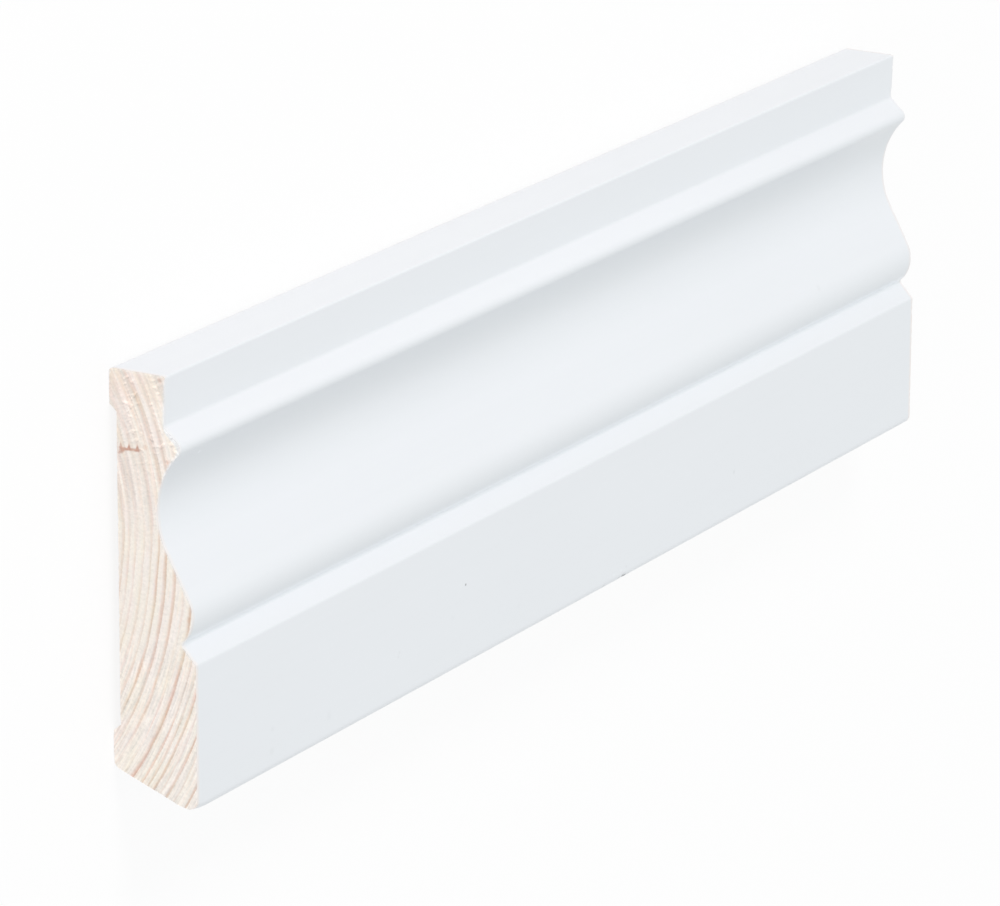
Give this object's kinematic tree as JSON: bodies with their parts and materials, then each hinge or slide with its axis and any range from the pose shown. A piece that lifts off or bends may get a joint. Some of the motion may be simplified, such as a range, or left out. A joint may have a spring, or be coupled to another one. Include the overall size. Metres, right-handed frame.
{
  "type": "skirting board length",
  "caption": "Sawn length of white painted softwood skirting board with a bead, cove and ogee moulding, a bevelled bottom edge and a relieved back.",
  "frame": {"origin": "on the plane of the two back lands, under the middle of the board's length and height", "axes": "+X along the length, towards the right-hand end seen from the front; +Y from the bottom edge towards the top edge; +Z out of the moulded face"},
  "size_m": [0.33, 0.095, 0.021],
  "materials": {
    "painted_softwood": "satin white paint on the top, front and bottom; raw planed back and raw sawn ends"
  },
  "bodies": {
    "root": {"skirting_board": "painted_softwood"}
  },
  "joints": []
}
